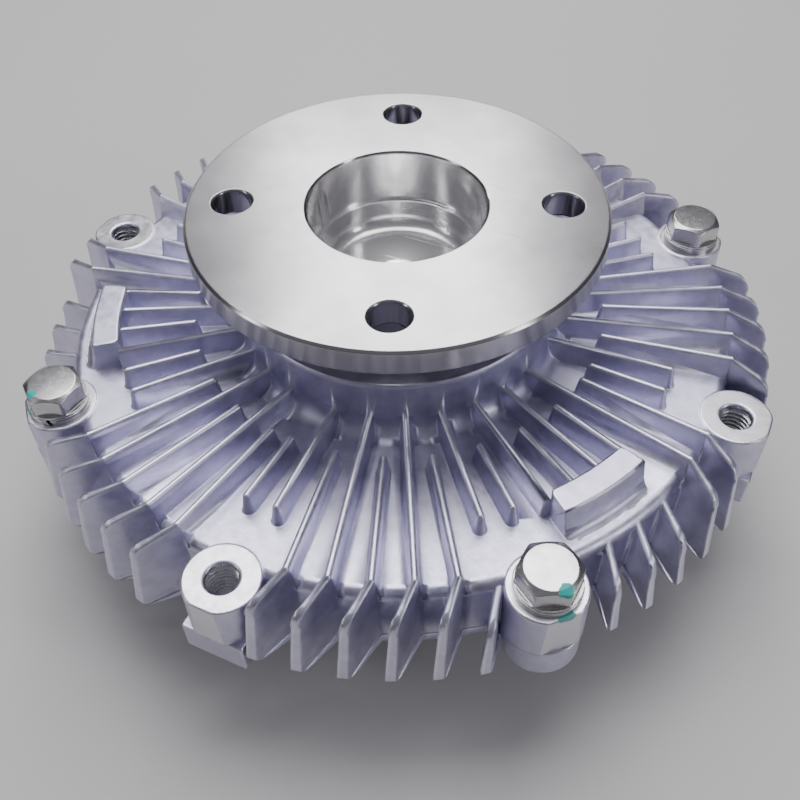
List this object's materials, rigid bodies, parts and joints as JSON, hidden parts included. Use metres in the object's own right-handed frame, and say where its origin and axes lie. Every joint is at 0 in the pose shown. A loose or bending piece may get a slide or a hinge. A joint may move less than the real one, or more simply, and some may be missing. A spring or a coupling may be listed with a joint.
{
  "type": "viscous fan clutch",
  "caption": "Round engine fan clutch: steel mounting flange with pilot recess over a ribbed cast housing with swept rim vanes, fan bosses and a finned front cover.",
  "frame": {"origin": "centre of the flange's mounting face, on the axis of rotation", "axes": "+Z along the axis of rotation, out of the mounting face; +X through a fan boss of the housing"},
  "size_m": [0.1838, 0.1838, 0.0781],
  "materials": {
    "turned_steel": "turned, satin bright",
    "cast_aluminium": "die-cast, satin",
    "machined_aluminium": "machined",
    "zinc_steel": "bright zinc plating",
    "bearing_steel": "ground",
    "sheet_steel": "pressed sheet",
    "spring_steel": "dark phosphated",
    "bimetal_strip": "rolled strip",
    "black_rubber": "matte"
  },
  "bodies": {
    "housing": {"rear_housing": "cast_aluminium", "front_cover": "cast_aluminium", "cover_seal_ring": "black_rubber", "case_bolts": "zinc_steel", "bolt_washers": "zinc_steel", "bearing_outer_ring": "bearing_steel", "bearing_seal_rear": "black_rubber", "bearing_seal_front": "black_rubber", "bearing_retaining_ring": "spring_steel", "separator_plate": "sheet_steel", "separator_screws": "zinc_steel", "valve_shaft_seal": "black_rubber", "bimetal_coil": "bimetal_strip", "coil_bracket": "sheet_steel", "bracket_screws": "zinc_steel"},
    "input": {"drive_hub": "turned_steel", "bearing_inner_ring": "bearing_steel", "rotor": "machined_aluminium", "rotor_retaining_ring": "spring_steel"},
    "ball_set": {"bearing_balls": "bearing_steel", "bearing_cage": "sheet_steel"},
    "valve": {"valve_shaft": "turned_steel", "valve_arm": "sheet_steel"}
  },
  "joints": [
    {"name": "hub_spin", "type": "hinge", "parent": "housing", "child": "input", "pos_m": [0, 0, 0], "axis": [0, 0, 1], "continuous": true},
    {"name": "ball_orbit", "type": "hinge", "parent": "housing", "child": "ball_set", "pos_m": [0, 0, -0.0319], "axis": [0, 0, 1], "continuous": true},
    {"name": "valve_turn", "type": "hinge", "parent": "housing", "child": "valve", "pos_m": [0, 0, -0.06], "axis": [0, 0, 1], "range_deg": [0, 25], "stiffness_Nm_per_rad": 0.05, "deforming": ["bimetal_coil"]}
  ],
  "couplings": [
    {"joint": "ball_orbit", "follows": "hub_spin", "ratio": 0.3967}
  ]
}
